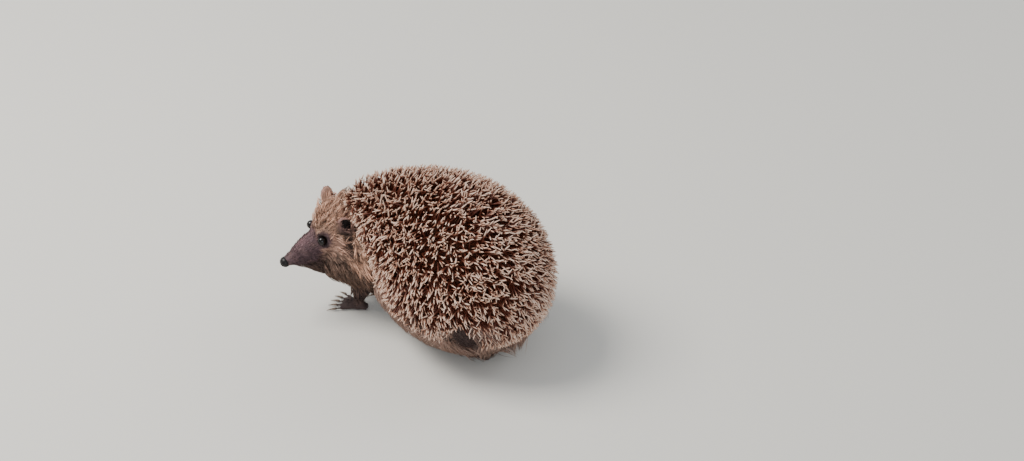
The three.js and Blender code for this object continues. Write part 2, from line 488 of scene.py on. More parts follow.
def makeTrunk():
    # the spines stand on a much smaller body than the hair of the belly does; head and neck are in it, well
    # under their own skin, so that the mantle over them is drawn in as part of a whole
    names = ["spiny_back", "belly", "neck", "head"]
    trunk = unite([copyNode(name) for name in names], "trunk", skinLook["trunkVoxel"])
    co = pointsOf(trunk)
    away = {name: distanceTo([name], co) for name in names}
    own = np.minimum(away["spiny_back"], away["belly"]) < np.minimum(away["neck"], away["head"])
    spiny = smoothStep(-0.010, 0.010, away["belly"] - away["spiny_back"])
    spiny = spiny * (1 - 0.40 * smoothStep(1.3, 0.8, haunchDistance(co, "parting")))
    spiny = spiny * (1 - 0.60 * smoothStep(1.6, 0.8, haunchDistance(co)))
    depth = skinLook["hairDepth"] + (skinLook["spineDepth"] - skinLook["hairDepth"]) * spiny
    relax(trunk, 0.5, 6)
    drawIn(trunk, np.where(own, depth, skinLook["underDepth"]))
    return trunk, own


regions = {
    "neck": ["neck"],
    "head": ["head"],
    "muzzle": ["muzzle", "lower_jaw", "nose"],
    "ears": ["ear_left", "ear_right"],
    "legs": limbNodes,
    "feet": footNodes,
}
blendWidth = {
    "trunk": 0.005,
    "neck": 0.005,
    "head": 0.005,
    "muzzle": 0.004,
    "ears": 0.0012,
    "legs": 0.003,
    "feet": 0.002,
}


def shareOut(points, trunkTree=None):
    # how far each point belongs to each region, summing to one
    away = {key: distanceTo(names, points) for key, names in regions.items()}
    if trunkTree:
        away["trunk"] = np.linalg.norm(nearest(trunkTree, points)[0] - points, axis=1)
    weights = {}
    for key in away:
        others = np.min([away[k] for k in away if k != key], axis=0)
        weights[key] = smoothStep(-blendWidth[key], blendWidth[key], others - away[key])
    total = np.sum(list(weights.values()), axis=0)
    return {key: value / np.maximum(total, 1e-9) for key, value in weights.items()}


# the round end of the muzzle under the nose pad, and a core that joins the neck to the body under the spines
noseTip = {"behind": 0.0034, "size": (0.0052, 0.0057, 0.0052)}
neckCore = {"share": 0.36, "size": (0.036, 0.0250, 0.0250)}


def makeForequarters():
    # head, neck, tail and limbs in one
    parts = [copyNode(name) for name in ["neck", "tail"] + headNodes + limbNodes]
    pad = headTurn.copy()
    pad.translation = middleOf("nose") + headTurn.to_3x3() @ Vector((noseTip["behind"], 0, 0))
    parts.append(ball(pad, noseTip["size"]))
    parts += [makePaw(name) for name in feet]
    body = unite(parts, "forequarters", skinLook["voxel"])
    z = shareOut(pointsOf(body))
    tip = smoothStep(-0.048, -0.038, toHead(pointsOf(body))[:, 0])
    face = (z["head"] + z["muzzle"]) * tip
    relax(body, 0.5 * (1 - z["ears"]) * (1 - z["feet"]) * np.maximum(tip, 0.15), 3)
    relax(body, 0.5 * face, 6)
    local = toHead(pointsOf(body))
    earless = smoothStep(0.003, 0.010, distanceTo(["ear_left", "ear_right"], pointsOf(body)))
    crown = smoothStep(0.006, 0.014, local[:, 2]) * smoothStep(-0.022, -0.010, local[:, 0])
    crown = crown * z["head"] * earless
    depth = skinLook["hairDepth"] * z["neck"] + skinLook["faceDepth"] * (z["head"] + 0.1 * z["muzzle"] * tip)
    depth = depth + skinLook["crownDepth"] * crown
    drawIn(body, depth + skinLook["limbDepth"] * z["legs"] + skinLook["swell"])
    return body


def makeSkin():
    trunk, own = makeTrunk()
    fore = makeForequarters()
    trunkTree, foreTree = treeOf(trunk.data, own), treeOf(fore.data)
    head, body = middleOf("head"), middleOf("belly")
    core = (body - head).to_track_quat("X", "Z").to_matrix().to_4x4()
    core.translation = head.lerp(body, neckCore["share"])
    skin = unite([trunk, fore, ball(core, neckCore["size"])], "skin", skinLook["voxel"])
    co = pointsOf(skin)
    apart = [np.linalg.norm(nearest(tree, co)[0] - co, axis=1) for tree in (trunkTree, foreTree)]
    seam = np.exp(-((np.max(apart, axis=0) / 0.007) ** 2)) * smoothStep(0.012, 0.03, co[:, 2])
    relax(skin, 0.5 * seam, 40)
    relax(skin, 0.3, 1)
    return skin, shareOut(pointsOf(skin), trunkTree)


skin, zones = makeSkin()
print("skin made of", len(skin.data.vertices), "points")

# face: lids, mouth line, brow and cheeks, on a finer mesh

faceLook = {
    "eyeRadius": 0.0035,
    "lid": 0.0007,
    "openWide": 44,
    "openTall": 34,
    "upperLid": 1.3,
    "socket": 0.0080,
    "fineAhead": -0.009,
    "fineAround": 0.0075,
}
eyeOut = {"left": (-0.30, -0.93, 0.20), "right": (-0.30, 0.93, 0.20)}
eyeInHead = {"left": toHead(np.array(eyeMiddles[0])), "right": toHead(np.array(eyeMiddles[1]))}


def eyeDistance(local, squash=(1, 1, 1)):
    away = [np.linalg.norm((local - centre) * squash, axis=1) for centre in eyeInHead.values()]
    return np.min(away, axis=0)


def refine(obj, chosen):
    shell = bmesh.new()
    shell.from_mesh(obj.data)
    shell.verts.ensure_lookup_table()
    chosenEdges = [e for e in shell.edges if chosen[e.verts[0].index] and chosen[e.verts[1].index]]
    bmesh.ops.subdivide_edges(shell, edges=chosenEdges, cuts=1, use_grid_fill=True, smooth=0.0)
    shell.to_mesh(obj.data)
    shell.free()


def shapeEyes(local):
    for side, centre in eyeInHead.items():
        out = unit(np.array(eyeOut[side]))
        across = unit(np.cross(out, (0, 0, 1)))
        high = np.cross(across, out)
        away = local - centre
        distance = np.linalg.norm(away, axis=1)
        way = away / np.maximum(distance, 1e-9)[:, None]
        facing = way @ out
        # angles from the way the eye looks, along and across the opening
        along = np.degrees(np.arctan2(way @ across, np.maximum(facing, 1e-6)))
        above = np.degrees(np.arctan2(way @ high, np.maximum(facing, 1e-6)))
        above = np.where(above > 0, above * faceLook["upperLid"], above)
        opening = np.sqrt((along / faceLook["openWide"]) ** 2 + (above / faceLook["openTall"]) ** 2)
        near = (distance < faceLook["socket"]) & (facing > 0)
        lidRadius = faceLook["eyeRadius"] + faceLook["lid"]
        # lids wrap the eyeball, then run out into the cheek
        wrap = 1 - smoothStep(lidRadius * 0.9, faceLook["socket"], distance)
        goal = np.where(distance < lidRadius, lidRadius, distance)
        crease = 0.0003 * np.exp(-(((distance - lidRadius - 0.0014) / 0.0006) ** 2))
        radius = np.where(near, distance + (goal - distance) * wrap - crease, distance)
        inside = near & (opening < 1)
        rim = smoothStep(0.86, 1.0, opening)
        radius = np.where(inside, faceLook["eyeRadius"] * 0.86 * (1 - rim) + lidRadius * rim, radius)
        local = np.where(near[:, None], centre + way * radius[:, None], local)
    return local


# the line of the lips on one side, and the face's forms there: place, half size and how far each stands out
mouthPath = [
    (-0.0480, 0.0006, -0.0085),
    (-0.0400, 0.0058, -0.0100),
    (-0.0300, 0.0098, -0.0112),
    (-0.0215, 0.0124, -0.0098),
]
mouthGroove = {"width": 0.0012, "depth": 0.0012}
faceForms = {
    "brow": ((-0.020, 0.0120, 0.0125), (0.007, 0.004, 0.0025), 0.0008),
    "cheek": ((-0.010, 0.0200, -0.008), (0.010, 0.008, 0.010), 0.0012),
    "bridge": ((-0.026, 0.006, 0.0075), (0.009, 0.0035, 0.004), -0.0010),
}


def lineDistance(points, path):
    best = np.full(len(points), 1.0)
    for a, b in zip(path[:-1], path[1:]):
        a, b = np.array(a), np.array(b)
        t = np.clip((points - a) @ (b - a) / ((b - a) @ (b - a)), 0, 1)
        best = np.minimum(best, np.linalg.norm(points - (a + t[:, None] * (b - a)), axis=1))
    return best


def shapeFace(obj):
    local = toHead(pointsOf(obj))
    normals = normalsOf(obj) @ np.array(headTurn.to_3x3())
    folded = np.stack([local[:, 0], np.abs(local[:, 1]), local[:, 2]], axis=1)
    rise = np.zeros(len(local))
    for place, size, height in faceForms.values():
        rise = rise + height * np.exp(-(np.linalg.norm((folded - place) / size, axis=1) ** 2))
    mouth = np.exp(-((lineDistance(folded, mouthPath) / mouthGroove["width"]) ** 2))
    local = local + normals * (rise - mouthGroove["depth"] * mouth)[:, None]
    local = shapeEyes(local)
    setPoints(obj, fromHead(local))


def flattenSoles(obj):
    co = pointsOf(obj)
    co[:, 2] = np.maximum(co[:, 2], skinLook["soleLevel"])
    setPoints(obj, co)


def faceAhead(obj, reach):
    # the points of the head that are ahead of `reach`
    local = toHead(pointsOf(obj))
    return (local[:, 0] < reach) & (np.abs(local[:, 1]) < 0.03) & (np.abs(local[:, 2]) < 0.04)


earLook = {
    "behind": 0.003,
    "aside": 0.021,
    "above": 0.0185,
    "splay": 6,
    "swing": 32,
    "lean": 20,
    "hollow": 0.0018,
    "hollowWide": 0.0060,
    "hollowTall": 0.0071,
    "hollowAbove": 0.0002,
    "reach": 0.012,
    "parted": -0.078,
}
earSides = (-1, 1)  # left and right


def earPlace(side):
    # an ear's own frame: its height along Z, its hollow towards side * Y
    place = headPlace @ Matrix.Translation((earLook["behind"], side * earLook["aside"], earLook["above"]))
    turns = ((side * earLook["swing"], "Z"), (-side * earLook["splay"], "X"), (earLook["lean"], "Y"))
    for degrees, axis in turns:
        place = place @ Matrix.Rotation(math.radians(degrees), 4, axis)
    return place


def toEar(points, side):
    return carry(points, earPlace(side).inverted())


def earHollow(points):
    # one in the middle of an ear's hollow, nothing outside it
    share = np.zeros(len(points))
    for side in earSides:
        local = toEar(points, side)
        high = (local[:, 2] - earLook["hollowAbove"]) / earLook["hollowTall"]
        across = np.sqrt((local[:, 0] / earLook["hollowWide"]) ** 2 + high**2)
        facing = smoothStep(-0.0012, 0.0004, local[:, 1] * side)
        close = np.linalg.norm(local, axis=1) < 0.011
        share = np.maximum(share, (1 - smoothStep(0.55, 1.0, across)) * facing * close)
    return share


def earFront(points):
    # one on the hollow's side of an ear and nothing on its back
    left = points[:, 0] > earLook["parted"]
    return smoothStep(-0.0012, 0.0006, np.where(left, -toEar(points, -1)[:, 1], toEar(points, 1)[:, 1]))


def shapeEars(obj):
    co = pointsOf(obj)
    share = earHollow(co)
    addAttribute(obj, "hollow", share)
    for side in earSides:
        inward = -np.array(earPlace(side).to_3x3() @ Vector((0, side, 0)))
        mine = np.linalg.norm(co - np.array(earPlace(side).translation), axis=1) < earLook["reach"]
        co = co + inward * (share * mine * earLook["hollow"])[:, None]
    setPoints(obj, co)


for zoneName, zoneShare in zones.items():
    addAttribute(skin, zoneName, zoneShare)


def finishSkin(obj):
    refine(obj, faceAhead(obj, faceLook["fineAhead"]))
    refine(obj, eyeDistance(toHead(pointsOf(obj))) < faceLook["fineAround"])
    shapeFace(obj)
    shapeEars(obj)
    flattenSoles(obj)
    smooth(obj)


finishSkin(skin)
print("face shaped,", len(skin.data.polygons), "faces")


def readAttribute(obj, name):
    return readRows(obj.data.attributes[name].data, "value", 1, np.float32)[:, 0].astype(float)


# markings, shared by the skin and the coat


def mix(a, b, share):
    return a + (np.asarray(b) - a) * np.asarray(share)[:, None]


def darkMask(points, z):
    # a dark mask runs from the muzzle back round each eye
    local = toHead(points)
    middle = np.exp(-((local[:, 1] / 0.010) ** 2))
    reach = local[:, 0] + 0.35 * np.maximum(local[:, 2], 0) - 0.005 * middle
    reach = reach + 0.0045 * smoothStep(0.005, -0.001, local[:, 2])
    snout = smoothStep(-0.0165, -0.0235, reach + 0.0015 * ripple(points, 0.005, 4))
    ring = smoothStep(0.0080, 0.0054, eyeDistance(local, (0.85, 1, 1)))
    return np.maximum(snout, ring) * (z["head"] + z["muzzle"])


# the line of the fold below the left ear, where shade is painted
earFoldShade = [(-0.0605, -0.0365, 0.0815), (-0.0548, -0.0400, 0.0764), (-0.0500, -0.0425, 0.0690)]
# the fold of the neck, where shade is painted
throatFoldShade = {"place": (-0.0600, -0.0490, 0.0525), "size": (0.0155, 0.0150, 0.0125)}


def throatShadeShare(points, z):
    local = toHead(points)
    # painted shade: the underside of the head is painted darker
    below = smoothStep(-0.0085, -0.0165, local[:, 2] + 0.10 * local[:, 0])
    below = below * smoothStep(0.016, 0.0, local[:, 0])
    # the fold where the head turns to its left is in shade, and that shade is painted into the fur there as a
    # darker colour
    fold = smoothStep(1.2, 0.85, np.linalg.norm((points - throatFoldShade["place"]) / throatFoldShade["size"], axis=1))
    return np.maximum(below, fold) * np.clip(z["head"] + z["neck"] + z["muzzle"], 0, 1)


def markings(points, z):
    local = toHead(points)
    face = np.clip(z["head"] + z["muzzle"], 0, 1)
    colour = np.tile(np.array(tones["flank"]), (len(points), 1))
    forehead = smoothStep(0.004, 0.014, local[:, 2]) * smoothStep(-0.030, -0.016, local[:, 0]) * z["head"]
    mask = np.clip(darkMask(points, z) * (1 - 0.2 * ripple(points, 0.006, 3)), 0, 1)
    # painted highlight: the top of the muzzle's bridge is painted paler where light falls on it; its sides
    # are mottled
    bridgeHighlight = smoothStep(0.0065, 0.0020, np.abs(local[:, 1])) * smoothStep(-0.002, 0.003, local[:, 2])
    bridgeHighlight = bridgeHighlight * smoothStep(-0.044, -0.036, local[:, 0]) * smoothStep(-0.018, -0.026, local[:, 0])
    for name, share in (
        ("belly", smoothStep(0.050, 0.020, points[:, 2]) * 0.8),
        ("ruff", z["neck"]),
        ("cheek", face),
        ("forehead", forehead),
        ("muzzle", mask),
        ("bridge", 0.6 * bridgeHighlight * mask),
    ):
        colour = mix(colour, tones[name], share)
    colour = colour * (1 + 0.45 * mask * ripple(points, 0.0038, 6))[:, None]
    colour = colour * (1 - 0.45 * face * smoothStep(0.0062, 0.0044, eyeDistance(local)))[:, None]
    # painted shade under the head and in the neck fold
    colour = mix(colour, tones["shadedThroat"], throatShadeShare(points, z) * 0.9)
    # painted shade: the fold that runs down from the left ear, and a strip behind each ear, are painted dark
    # for the shade in these creases
    strip = np.exp(-(((local[:, 0] - 0.0085) / 0.003) ** 2))
    strip = strip * smoothStep(-0.004, 0.004, local[:, 2]) * z["head"]
    fold = np.exp(-((lineDistance(points, earFoldShade) / 0.0056) ** 4))
    colour = mix(colour, tones["earFoldShade"], np.maximum(strip * 0.6, fold * 0.95))
    colour = mix(colour, mix(np.array(tones["cheek"]), tones["earRim"], earFront(points)), z["ears"])
    for name, share in (
        # painted shade in the ear hollows
        ("earHollowShade", smoothStep(0.15, 0.55, z["hollow"])),
        ("legs", np.maximum(z["legs"], smoothStep(1.15, 0.9, haunchDistance(points)))),
        ("soles", z["feet"]),
        # painted shade on the skin under the spines
        ("shadeUnderSpines", z["spiny"] * (1 - z["ears"]) * (1 - z["legs"])),
    ):
        colour = mix(colour, tones[name], share)
    return colour * (1 + 0.14 * ripple(points, 0.012, 1) + 0.10 * ripple(points, 0.004, 2))[:, None]


zones = {key: readAttribute(skin, key) for key in [*zones, "hollow"]}
zones["spiny"] = spineShare(pointsOf(skin)) * smoothStep(0.92, 0.60, zones["neck"] + zones["head"])
underFur = 1 - 0.22 * np.clip(zones["head"] + zones["neck"], 0, 1)
addAttribute(skin, "markings", markings(pointsOf(skin), zones) * underFur[:, None], "FLOAT_COLOR")


# materials


def newMaterial(name):
    material = bpy.data.materials.new(name)
    material.use_nodes = True
    return material, material.node_tree, material.node_tree.nodes["Principled BSDF"]


def addNode(tree, kind, **values):
    node = tree.nodes.new(kind)
    for key, value in values.items():
        if hasattr(node, key):
            setattr(node, key, value)
        else:
            node.inputs[key.replace("_", " ").title()].default_value = value
    return node


def noiseNode(tree, scale, detail=4, roughness=0.5):
    place = addNode(tree, "ShaderNodeTexCoord")
    noise = addNode(tree, "ShaderNodeTexNoise")
    noise.inputs["Scale"].default_value = scale
    noise.inputs["Detail"].default_value = detail
    noise.inputs["Roughness"].default_value = roughness
    tree.links.new(place.outputs["Object"], noise.inputs["Vector"])
    return noise


def rampNode(tree, source, stops):
    ramp = addNode(tree, "ShaderNodeValToRGB")
    elements = ramp.color_ramp.elements
    while len(elements) < len(stops):
        elements.new(0.5)
    for element, (place, colour) in zip(elements, stops):
        element.position = place
        element.color = (*colour, 1)
    tree.links.new(source, ramp.inputs["Fac"])
    return ramp.outputs["Color"]


def multiplyNode(tree, a, b, share=1.0):
    node = addNode(tree, "ShaderNodeMix", data_type="RGBA", blend_type="MULTIPLY")
    node.inputs["Factor"].default_value = share
    tree.links.new(a, node.inputs["A"])
    tree.links.new(b, node.inputs["B"])
    return node.outputs["Result"]


def bumpNode(tree, height, strength, distance):
    bump = addNode(tree, "ShaderNodeBump")
    bump.inputs["Strength"].default_value = strength
    bump.inputs["Distance"].default_value = distance
    tree.links.new(height, bump.inputs["Height"])
    return bump.outputs["Normal"]


def paint(tree, shader, colour, gloss):
    # gloss is how rough a surface is, and how much it shines
    tree.links.new(colour, shader.inputs["Base Color"])
    shader.inputs["Roughness"].default_value = gloss[0]
    shader.inputs["Specular IOR Level"].default_value = gloss[1]


grey = lambda v: (v, v, v)


def makeSkinMaterial():
    material, tree, shader = newMaterial("hedgehogSkin")
    marks = addNode(tree, "ShaderNodeAttribute", attribute_name="markings")
    blotch = noiseNode(tree, 260, 5, 0.6)
    fine = noiseNode(tree, 1400, 3, 0.6)
    shade = rampNode(tree, blotch.outputs["Fac"], [(0.3, grey(0.72)), (0.7, grey(1.2))])
    nap = rampNode(tree, fine.outputs["Fac"], [(0.3, grey(0.6)), (0.7, grey(1.15))])
    colour = multiplyNode(tree, multiplyNode(tree, marks.outputs["Color"], shade), nap, 0.8)
    paint(tree, shader, colour, skinLook["gloss"])
    tree.links.new(bumpNode(tree, fine.outputs["Fac"], 0.5, 0.0004), shader.inputs["Normal"])
    return material


skin.data.materials.clear()
skin.data.materials.append(makeSkinMaterial())
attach(skin, "root")
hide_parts(*fleshNodes, *footNodes)
print("skin finished")

# eyes

eyeLook = {"radius": faceLook["eyeRadius"], "front": 1.04, "segments": 40, "rings": 24, "gloss": (0.10, 0.35)}


def makeEyes():
    material, tree, shader = newMaterial("wetEye")
    depth = noiseNode(tree, 500, 3)
    colour = rampNode(tree, depth.outputs["Fac"], [(0.35, tone("050404")), (0.7, tone("120b08"))])
    paint(tree, shader, colour, eyeLook["gloss"])
    for side, middle in zip(("left", "right"), eyeMiddles):
        look = headTurn.to_3x3() @ Vector(eyeOut[side])
        turn = look.to_track_quat("Z", "Y").to_matrix().to_4x4()
        r = eyeLook["radius"]
        # the clear front stands out a little further than the ball
        size = (r, r, r * eyeLook["front"])
        eye = ball(Matrix.Translation(middle) @ turn, size, eyeLook["segments"], eyeLook["rings"])
        eye.name = "eyeball_" + side
        eye.data.materials.append(material)
        smooth(eye)
        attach(eye, "root")
        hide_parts("eye_" + side)


makeEyes()
print("eyes made")

# nose

noseLook = {
    "size": (0.0040, 0.0047, 0.0040),
    "aside": 0.0022,
    "nostril": (0.0012, 0.0009),
    "nostrilDepth": 0.0017,
    "groove": (0.0004, 0.0006),
    "slit": (0.00045, 0.0006),
    "rim": 0.00025,
    "gloss": (0.38, 0.25),
}


def makeNose():
    centre = middleOf("nose")
    place = headTurn.copy()
    place.translation = centre
    nose = ball(place, noseLook["size"], 48, 32)
    local = toHead(pointsOf(nose)) - toHead(np.array(centre))
    x, y, z = local.T
    side = np.abs(y)
    front = smoothStep(0.001, -0.003, x)
    # a groove down the middle, nostrils to each side that sweep back with a rim round each, and a slit along
    # each side
    width, depth = noseLook["groove"]
    groove = depth * np.exp(-((y / width) ** 2)) * front * smoothStep(0.0025, 0.0, z)
    outward = side - noseLook["aside"]
    wide, tall = noseLook["nostril"]
    holes = np.sqrt((outward / wide) ** 2 + ((z - outward * 0.5) / tall) ** 2)
    hole = noseLook["nostrilDepth"] * (1 - smoothStep(0.45, 1.05, holes)) * front
    rim = noseLook["rim"] * np.exp(-(((holes - 1.4) / 0.3) ** 2)) * front
    width, depth = noseLook["slit"]
    slit = depth * np.exp(-(((z + 0.0006) / width) ** 2)) * smoothStep(0.0028, 0.0036, side)
    x = x + groove + hole - rim
    y = y - np.sign(y) * slit
    setPoints(nose, fromHead(np.stack([x, y, z], axis=1) + toHead(np.array(centre))))
    material, tree, shader = newMaterial("moistNose")
    pebbles = addNode(tree, "ShaderNodeTexVoronoi")
    pebbles.inputs["Scale"].default_value = 2200
    place = addNode(tree, "ShaderNodeTexCoord")
    tree.links.new(place.outputs["Object"], pebbles.inputs["Vector"])
    colour = rampNode(tree, pebbles.outputs["Distance"], [(0.1, tone("1c1615")), (0.6, tone("0d0a0a"))])
    paint(tree, shader, colour, noseLook["gloss"])
    tree.links.new(bumpNode(tree, pebbles.outputs["Distance"], 0.2, 0.0002), shader.inputs["Normal"])
    nose.data.materials.append(material)
    nose.name = "nosePad"
    smooth(nose)
    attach(nose, "root")
    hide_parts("nose")


makeNose()
print("nose made")

# claws

clawLook = {
    "radius": 0.00105,
    "modelLength": 5,
    "sunk": 0.0026,
    "raised": 0.0003,
    "steps": 6,
    "curve": 34,
    "sides": 10,
    "lowest": 0.00005,
    "gloss": (0.38, 0.5),
}


def modelClaw():
    # one claw of radius 1 along -X, extruded ring by ring as it narrows and curves down
    deselectAll()
    upright = (0, math.pi / 2, 0)
    bpy.ops.mesh.primitive_circle_add(
        vertices=clawLook["sides"], radius=1, fill_type="NGON", rotation=upright
    )
    claw = bpy.context.object
    bake(claw)
    bpy.ops.object.mode_set(mode="EDIT")
    bpy.ops.mesh.select_all(action="SELECT")
    steps, length = clawLook["steps"], clawLook["modelLength"]
    for i in range(steps):
        bend = math.radians(clawLook["curve"]) * (i + 0.5) / steps
        move = (-math.cos(bend) * length / steps, 0, -math.sin(bend) * length / steps)
        bpy.ops.mesh.extrude_region_move(TRANSFORM_OT_translate={"value": move})
        narrow = (1 - (i + 1) / (steps + 0.3)) / (1 - i / (steps + 0.3)) if i else 0.9
        bpy.ops.transform.resize(value=(narrow, narrow, narrow))
    bpy.ops.mesh.select_all(action="SELECT")
    bpy.ops.mesh.normals_make_consistent(inside=False)
    bpy.ops.object.mode_set(mode="OBJECT")
    return claw


def makeClaws():
    model = modelClaw()
    shape = model.data.copy()
    bpy.data.objects.remove(model)
    copies = []
    for name, look in feet.items():
        size = look["shape"]
        place = footPlace(name)
        for toe in range(toeCount):
            root, tip = toeEnds(size, toe)
            way = tip - root
            turn = Matrix.Rotation(math.atan2(-way.y, -way.x), 4, "Z")
            thick = clawLook["radius"]
            start = tip - way.normalized() * clawLook["sunk"] + Vector((0, 0, clawLook["raised"]))
            long = (size["claw"] + clawLook["sunk"]) / clawLook["modelLength"]
            grow = Matrix.Diagonal((long, thick, thick * 1.15, 1))
            claw = addObject("claw", shape.copy())
            claw.data.transform(place @ Matrix.Translation(start) @ turn @ grow)
            copies.append(claw)
    claws = joinAll(copies, "claws")
    applyModifier(claws, "SUBSURF", levels=1, render_levels=1)
    co = pointsOf(claws)
    co[:, 2] = np.maximum(co[:, 2], clawLook["lowest"])
    setPoints(claws, co)
    material, tree, shader = newMaterial("clawHorn")
    streak = noiseNode(tree, 300, 4, 0.6)
    colour = rampNode(tree, streak.outputs["Fac"], [(0.3, tone("41342b")), (0.7, tone("7d6959"))])
    paint(tree, shader, colour, clawLook["gloss"])
    claws.data.materials.append(material)
    smooth(claws)
    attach(claws, "root")


makeClaws()
print("claws made")

# coat: roots scattered on the skin, each with its lie, length and place on the skin's unwrap

coatLook = {
    "unwrapVoxel": 0.0045,
    "unwrapAngle": 66,
    "unwrapMargin": 0.004,
    "bakePatch": 0.003,
    "lowest": 0.0005,
    "tries": 1.7,
}


def makeUnwrap(obj):
    # a light copy of the skin, unwrapped by its own faces
    light = addObject("unwrap", obj.data.copy())
    applyModifier(light, "REMESH", mode="VOXEL", voxel_size=coatLook["unwrapVoxel"])
    pick(light)
    bpy.ops.object.mode_set(mode="EDIT")
    bpy.ops.mesh.select_all(action="SELECT")
    bpy.ops.mesh.quads_convert_to_tris()
    angle = math.radians(coatLook["unwrapAngle"])
    bpy.ops.uv.smart_project(angle_limit=angle, island_margin=coatLook["unwrapMargin"])
    bpy.ops.object.mode_set(mode="OBJECT")
    places = [v.co.copy() for v in light.data.vertices]
    uv = light.data.uv_layers.active.data
    faces, corners = [], []
    for face in light.data.polygons:
        faces.append(tuple(face.vertices))
        corners.append([Vector((*uv[i].uv, 0)) for i in face.loop_indices])
    bpy.data.objects.remove(light)
    return BVHTree.FromPolygons(places, faces), places, faces, corners


unwrapTree, unwrapPlaces, unwrapFaces, unwrapCorners = makeUnwrap(skin)


def unwrapAt(points):
    out = np.empty((len(points), 2))
    for i, point in enumerate(points):
        found, _, index, _ = unwrapTree.find_nearest(Vector(point))
        a, b, c = (unwrapPlaces[k] for k in unwrapFaces[index])
        out[i] = barycentric_transform(found, a, b, c, *unwrapCorners[index])[:2]
    return np.clip(out, 0.002, 0.998)


def trianglesOf(obj):
    obj.data.calc_loop_triangles()
    return readRows(obj.data.loop_triangles, "vertices", 3, np.int64)


skinCo, skinNormals, skinTris = pointsOf(skin), normalsOf(skin), trianglesOf(skin)
firsts, seconds, thirds = (skinCo[skinTris[:, k]] for k in range(3))
triAreas = np.linalg.norm(np.cross(seconds - firsts, thirds - firsts), axis=1) / 2


def thinOut(points, spacing, target):
    # the first points that lie no nearer to each other than `spacing`, as many as the target
    cells, kept = {}, []
    ways = list(itertools.product((-1, 0, 1), repeat=3))
    for i, key in enumerate(map(tuple, np.floor(points / spacing).astype(int))):
        x, y, z = key
        around = (j for dx, dy, dz in ways for j in cells.get((x + dx, y + dy, z + dz), ()))
        if any(np.dot(points[i] - points[j], points[i] - points[j]) < spacing * spacing for j in around):
            continue
        cells.setdefault(key, []).append(i)
        kept.append(i)
        if len(kept) >= target:
            break
    return np.array(kept)


def scatter(density, spacing):
    # roots per square millimetre given at each skin point, none nearer to another than `spacing`
    share = density[skinTris].mean(axis=1) * triAreas * 1e6
    count = int(share.sum() * coatLook["tries"])
    chosen = dice.choice(len(skinTris), count, p=share / share.sum())
    a, b = dice.random((2, count))
    flip = a + b > 1
    a[flip], b[flip] = 1 - a[flip], 1 - b[flip]
    weights = np.stack([1 - a - b, a, b], axis=1)
    corners = skinTris[chosen]
    points = (skinCo[corners] * weights[:, :, None]).sum(axis=1)
    kept = thinOut(points, spacing, int(share.sum()))
    corners, weights = corners[kept], weights[kept]

    def take(values):
        return (values[corners] * (weights if values.ndim == 1 else weights[:, :, None])).sum(axis=1)

    return {
        "place": points[kept],
        "normal": unit(take(skinNormals)),
        "zones": {key: take(values) for key, values in zones.items()},
    }


def lieOfCoat(roots):
    # which way the coat lies: back along the head and body, down the flanks and legs, forward over the feet
    points, z = roots["place"], roots["zones"]
    n = len(points)
    low = smoothStep(0.080, 0.030, points[:, 2])
    trunkWay = np.stack([np.ones(n), np.zeros(n), -0.25 - 1.3 * low], axis=1)
    headRear = headWay((1, 0, 0))
    neckWay = np.tile(headRear * 0.7 + np.array((0.4, 0.1, -0.8)), (n, 1))
    headLie = np.tile(headRear, (n, 1)) + np.outer(-low * 0.8, (0, 0, 1))
    earLie = np.tile(headWay((0.35, 0, 1)), (n, 1))
    legWay = np.tile(np.array((0.15, 0, -1.0)), (n, 1))
    footWay = np.tile(np.array((-1.0, -0.2, -0.3)), (n, 1))
    way = (
        trunkWay * z["trunk"][:, None]
        + neckWay * z["neck"][:, None]
        + headLie * (z["head"] + z["muzzle"])[:, None]
        + earLie * z["ears"][:, None]
        + legWay * z["legs"][:, None]
        + footWay * z["feet"][:, None]
    )
    normal = roots["normal"]
    way = way - normal * (way * normal).sum(axis=1)[:, None]
    return unit(way)


def turnAbout(vectors, axes, angles):
    c, s = np.cos(angles)[:, None], np.sin(angles)[:, None]
    along = (axes * vectors).sum(axis=1)[:, None]
    return vectors * c + np.cross(axes, vectors) * s + axes * along * (1 - c)


def holdIn(paths, steps, allow):
    # a strand whose tip stands out past the outer form is laid over until it doesn't
    for _ in range(2):
        out, way = outside(paths[:, -1])
        push = np.maximum(out - allow, 0)[:, None] * way
        paths = paths - push[:, None, :] * (steps[None, :, None] ** 1.5)
    paths[:, :, 2] = np.maximum(paths[:, :, 2], coatLook["lowest"])
    return paths


def earClearance(paths):
    # how near each strand comes to the hollow of an ear
    near = np.full(len(paths), 1.0)
    for side in earSides:
        centre = np.array(earPlace(side) @ Vector((0, side * 0.003, 0)))
        near = np.minimum(near, np.linalg.norm(paths[:, 1:] - centre, axis=2).min(axis=1))
    return near


